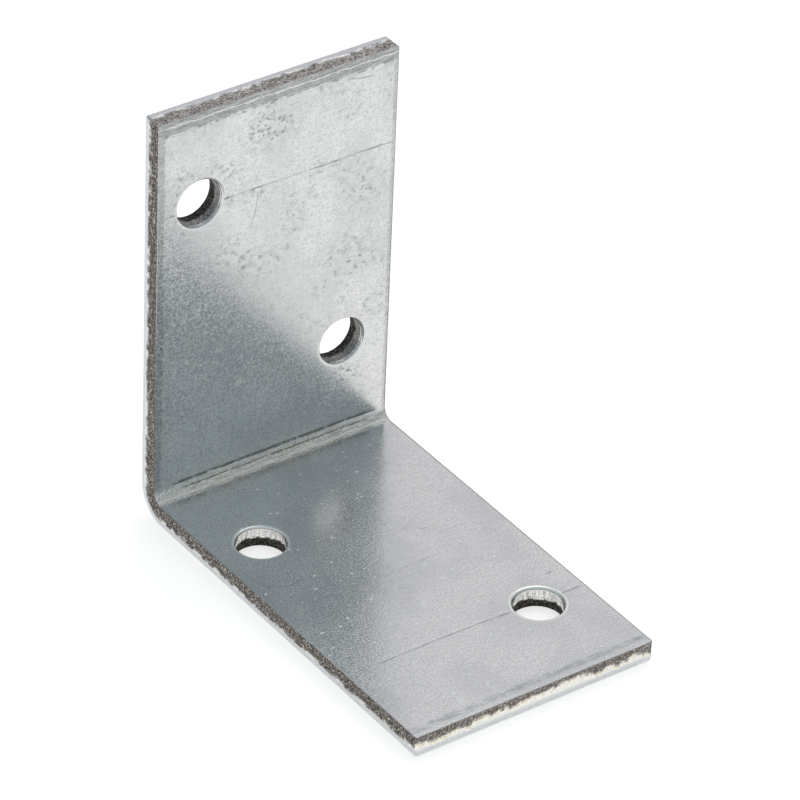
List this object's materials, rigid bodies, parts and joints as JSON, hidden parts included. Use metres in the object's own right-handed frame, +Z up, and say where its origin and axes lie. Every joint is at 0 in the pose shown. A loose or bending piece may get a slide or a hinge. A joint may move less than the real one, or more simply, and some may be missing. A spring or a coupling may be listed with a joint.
{
  "type": "corner brace bracket",
  "caption": "Galvanised sheet steel corner brace: one strip folded to a right angle, with staggered punched screw holes in each leg.",
  "frame": {"origin": "centre of the bounding box in X and Y, at floor level under the lying leg", "axes": "+Z up along the standing leg, +X along the lying leg away from the fold, Y across the strip"},
  "size_m": [0.0508, 0.03, 0.0495],
  "materials": {
    "zinc_steel": "zinc coated, semi-gloss, with fine grain across the strip and broken grey-brown sheared edges"
  },
  "bodies": {
    "root": {"corner_brace": "zinc_steel"}
  },
  "joints": []
}
